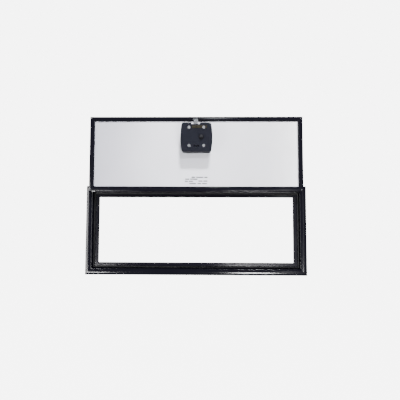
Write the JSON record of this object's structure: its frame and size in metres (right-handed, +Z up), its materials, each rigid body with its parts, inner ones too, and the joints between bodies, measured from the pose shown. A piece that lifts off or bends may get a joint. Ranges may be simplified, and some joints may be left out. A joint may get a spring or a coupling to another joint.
{
  "type": "window sash with crank",
  "caption": "Top-hinged aluminium window sash swung up above its wall frame, with a boxed rack-and-pinion crank operator hanging from the free rail.",
  "frame": {"origin": "centre of the wall frame on its rear clamping plane, where the room-side clamp ring is screwed on", "axes": "+X across the window to the right as seen from outside, +Y from outside through the wall into the room, +Z up"},
  "size_m": [0.64, 0.096, 0.4521],
  "materials": {
    "black_powder_coat": "satin black powder coat on extruded aluminium",
    "sash_powder_coat": "satin black powder coat on extruded aluminium",
    "hinge_powder_coat": "satin black powder coat",
    "mill_aluminium": "mill finish",
    "rivet_aluminium": "pressed, dull",
    "epdm_rubber": "matt extruded rubber",
    "stainless_steel": "drawn bright",
    "black_nylon": "moulded",
    "tempered_glass": "clear tempered",
    "zinc_plated_steel": "bright zinc plate",
    "zinc_plated_screw": "bright zinc plate",
    "rack_steel": "zinc-plated strip, cut teeth",
    "gear_steel": "machined, greased",
    "spindle_steel": "turned, black oxide worn",
    "sintered_bronze": "sintered",
    "spring_steel": "drawn wire",
    "moulded_cover": "spark-textured moulding",
    "black_steel_plate": "black electrophoretic coat",
    "passivated_strap": "olive-brown passivate",
    "acetal": "moulded"
  },
  "bodies": {
    "frame": {"frame_head": "black_powder_coat", "frame_sill": "black_powder_coat", "frame_jamb_left": "black_powder_coat", "frame_jamb_right": "black_powder_coat", "frame_corner_keys": "mill_aluminium", "frame_seal": "epdm_rubber", "hinge_leaf_frame": "hinge_powder_coat", "hinge_rod": "stainless_steel", "hinge_end_caps": "black_nylon", "hinge_rivets_frame": "rivet_aluminium"},
    "sash": {"hinge_leaf_sash": "hinge_powder_coat", "hinge_rivets_sash": "rivet_aluminium", "sash_rail_free": "sash_powder_coat", "sash_rail_hinge": "sash_powder_coat", "sash_stile_left": "sash_powder_coat", "sash_stile_right": "sash_powder_coat", "sash_corner_keys": "mill_aluminium", "sash_corner_rivets": "rivet_aluminium", "glass_pane": "tempered_glass", "glazing_gasket": "epdm_rubber", "bracket": "zinc_plated_steel", "bracket_screw": "zinc_plated_screw", "bracket_pin": "stainless_steel"},
    "rack": {"rack_bar": "rack_steel"},
    "operator": {"operator_cover": "moulded_cover", "cover_gasket": "epdm_rubber", "operator_back_plate": "black_steel_plate", "cover_screws": "zinc_plated_screw", "guide_strap": "passivated_strap", "rack_guide_upper": "acetal", "rack_guide_side": "acetal", "guide_rivets": "rivet_aluminium", "idler_axle": "gear_steel", "spindle_bush_front": "black_nylon", "spindle_bush_rear": "sintered_bronze", "brake_spring": "spring_steel"},
    "idler": {"idler_gear": "gear_steel"},
    "crank_spindle": {"spindle": "spindle_steel"}
  },
  "joints": [
    {"name": "sash_hinge", "type": "hinge", "parent": "frame", "child": "sash", "pos_m": [0, -0.037, 0.111], "axis": [1, 0, 0], "range_deg": [0, 180]},
    {"name": "bar_swing", "type": "hinge", "parent": "sash", "child": "rack", "pos_m": [0, -0.0767, 0.3035], "axis": [-1, 0, 0], "range_deg": [0, 25]},
    {"name": "operator_travel", "type": "slide", "parent": "rack", "child": "operator", "axis": [0, 0, -1], "range_m": [0, 0.045]},
    {"name": "idler_turn", "type": "hinge", "parent": "operator", "child": "idler", "pos_m": [0.01016, -0.078, 0.26717], "axis": [0, 1, 0], "range_deg": [0, 538]},
    {"name": "crank_turn", "type": "hinge", "parent": "operator", "child": "crank_spindle", "pos_m": [0.0147, -0.078, 0.2535], "axis": [0, -1, 0], "range_deg": [0, 1075]}
  ],
  "couplings": [
    {"joint": "idler_turn", "follows": "operator_travel", "rad_per_m": 208.33},
    {"joint": "crank_turn", "follows": "operator_travel", "rad_per_m": 416.67}
  ]
}
